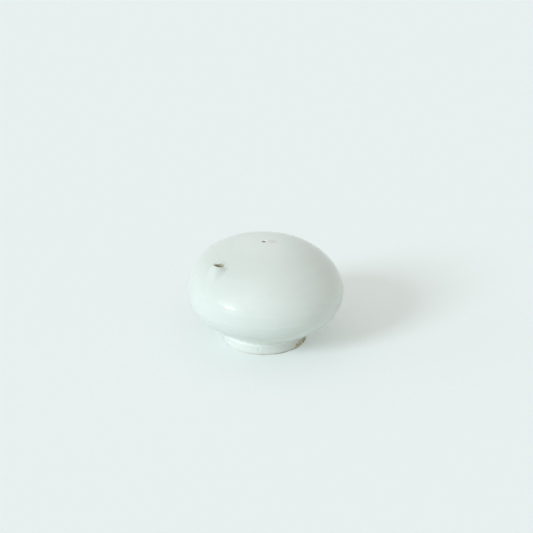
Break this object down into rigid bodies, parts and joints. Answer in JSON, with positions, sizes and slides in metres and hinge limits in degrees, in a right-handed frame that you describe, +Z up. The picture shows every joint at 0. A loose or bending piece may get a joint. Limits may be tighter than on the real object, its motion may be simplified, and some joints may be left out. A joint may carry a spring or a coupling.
{
  "type": "water dropper",
  "caption": "Small globular porcelain water dropper for an ink stone, with an air hole, a low spout and a foot ring.",
  "frame": {"origin": "on the body's axis, on the plane that the foot ring stands on", "axes": "+Z up through the crown, -Y towards the pouring spout, +X to the right seen from the spout"},
  "size_m": [0.08, 0.08, 0.0532],
  "materials": {
    "glaze": "glossy, slightly blue-green white",
    "fired_clay": "unglazed, smooth",
    "bare_foot_clay": "unglazed rim, warm brown",
    "spout_clay": "unglazed, cream to brown at the mouth",
    "luting_slip": "unglazed, matt",
    "kiln_sand": "rough fused sand"
  },
  "bodies": {
    "root": {"lower_bowl": "fired_clay", "upper_dome": "fired_clay", "seam_slip": "luting_slip", "foot_ring": "bare_foot_clay", "foot_slip": "luting_slip", "pour_spout": "spout_clay", "spout_slip": "luting_slip", "glaze_coat": "glaze", "well_glaze": "glaze", "kiln_grit": "kiln_sand"}
  },
  "joints": []
}
